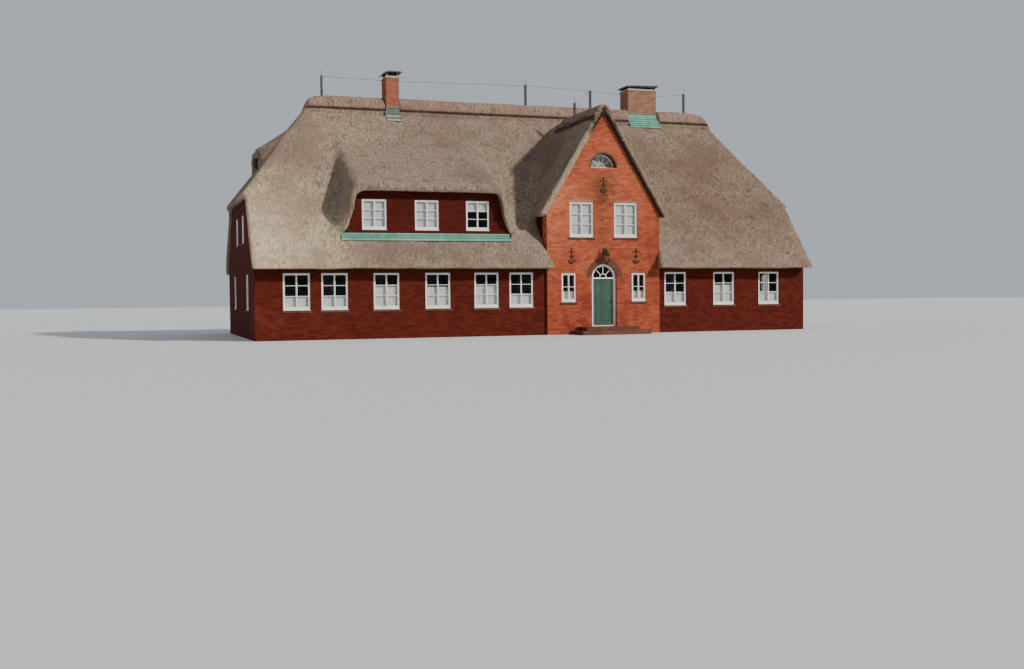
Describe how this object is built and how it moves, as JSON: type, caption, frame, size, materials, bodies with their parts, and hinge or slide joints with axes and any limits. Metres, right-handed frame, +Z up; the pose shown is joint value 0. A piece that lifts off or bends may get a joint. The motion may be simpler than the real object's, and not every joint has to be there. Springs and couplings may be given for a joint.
{
  "type": "thatched cottage",
  "caption": "Long brick house under a steep thatched roof with half-hipped ends, a swept dormer and a pointed front gable over an arched door that opens.",
  "frame": {"origin": "centre of the main block's plan at ground level, on the underside of the ground floor", "axes": "+X along the front wall to the right as seen from the front, +Y from front to back, +Z up"},
  "size_m": [23.5, 11.97, 10.97],
  "materials": {
    "dark_brick": "dark red brick in pale mortar",
    "orange_brick": "orange-red brick in pale mortar, weathered",
    "chimney_brick": "weathered red brick",
    "thatch": "weathered reed thatch",
    "heather": "heather ridge, rough",
    "white_paint": "cream-white gloss paint",
    "green_paint": "dark green gloss paint",
    "copper": "green patina on copper sheet",
    "iron": "black, matt",
    "concrete": "plain screed",
    "boards": "planed floor boards"
  },
  "bodies": {
    "house": {"front_wall_left": "dark_brick", "front_wall_right": "dark_brick", "back_wall": "dark_brick", "end_wall_left": "dark_brick", "end_wall_right": "dark_brick", "cheek_wall_left": "dark_brick", "cheek_wall_right": "dark_brick", "dormer_wall": "dark_brick", "gable_wall_left": "orange_brick", "gable_wall_right": "orange_brick", "gable_wall_upper": "orange_brick", "entrance_steps": "orange_brick", "chimney_left": "chimney_brick", "chimney_right": "chimney_brick", "chimney_base_left": "chimney_brick", "chimney_base_right": "chimney_brick", "thatch_front_left": "thatch", "thatch_dormer": "thatch", "thatch_apron": "thatch", "thatch_front_middle": "thatch", "thatch_front_right": "thatch", "thatch_back": "thatch", "thatch_hip_left": "thatch", "thatch_hip_right": "thatch", "thatch_gable_left": "thatch", "thatch_gable_right": "thatch", "ridge_roll_left": "heather", "ridge_roll_middle": "heather", "ridge_roll_right": "heather", "gable_roll": "heather", "windows_front_left": "white_paint", "windows_front_right": "white_paint", "windows_back": "white_paint", "windows_end_left": "white_paint", "windows_end_right": "white_paint", "windows_end_upper_left": "white_paint", "windows_end_upper_right": "white_paint", "windows_gable": "white_paint", "window_beside_door_left": "white_paint", "window_beside_door_right": "white_paint", "window_lunette": "white_paint", "windows_dormer": "white_paint", "window_eyebrow": "white_paint", "door_frame": "white_paint", "flashing_left": "copper", "flashing_right": "copper", "flashing_dormer": "copper", "chimney_cowl_left": "iron", "chimney_cowl_right": "iron", "lantern": "iron", "wall_anchor_upper": "iron", "wall_anchor_left": "iron", "wall_anchor_right": "iron", "conductor_left": "iron", "conductor_middle": "iron", "conductor_right": "iron", "ground_floor": "concrete", "upper_floor": "boards"},
    "door": {"door_leaf": "green_paint"}
  },
  "joints": [
    {"name": "front_door_hinge", "type": "hinge", "parent": "house", "child": "door", "pos_m": [1.743, -4.868, 1.262], "axis": [0, 0, 1], "range_deg": [0, 90]}
  ]
}
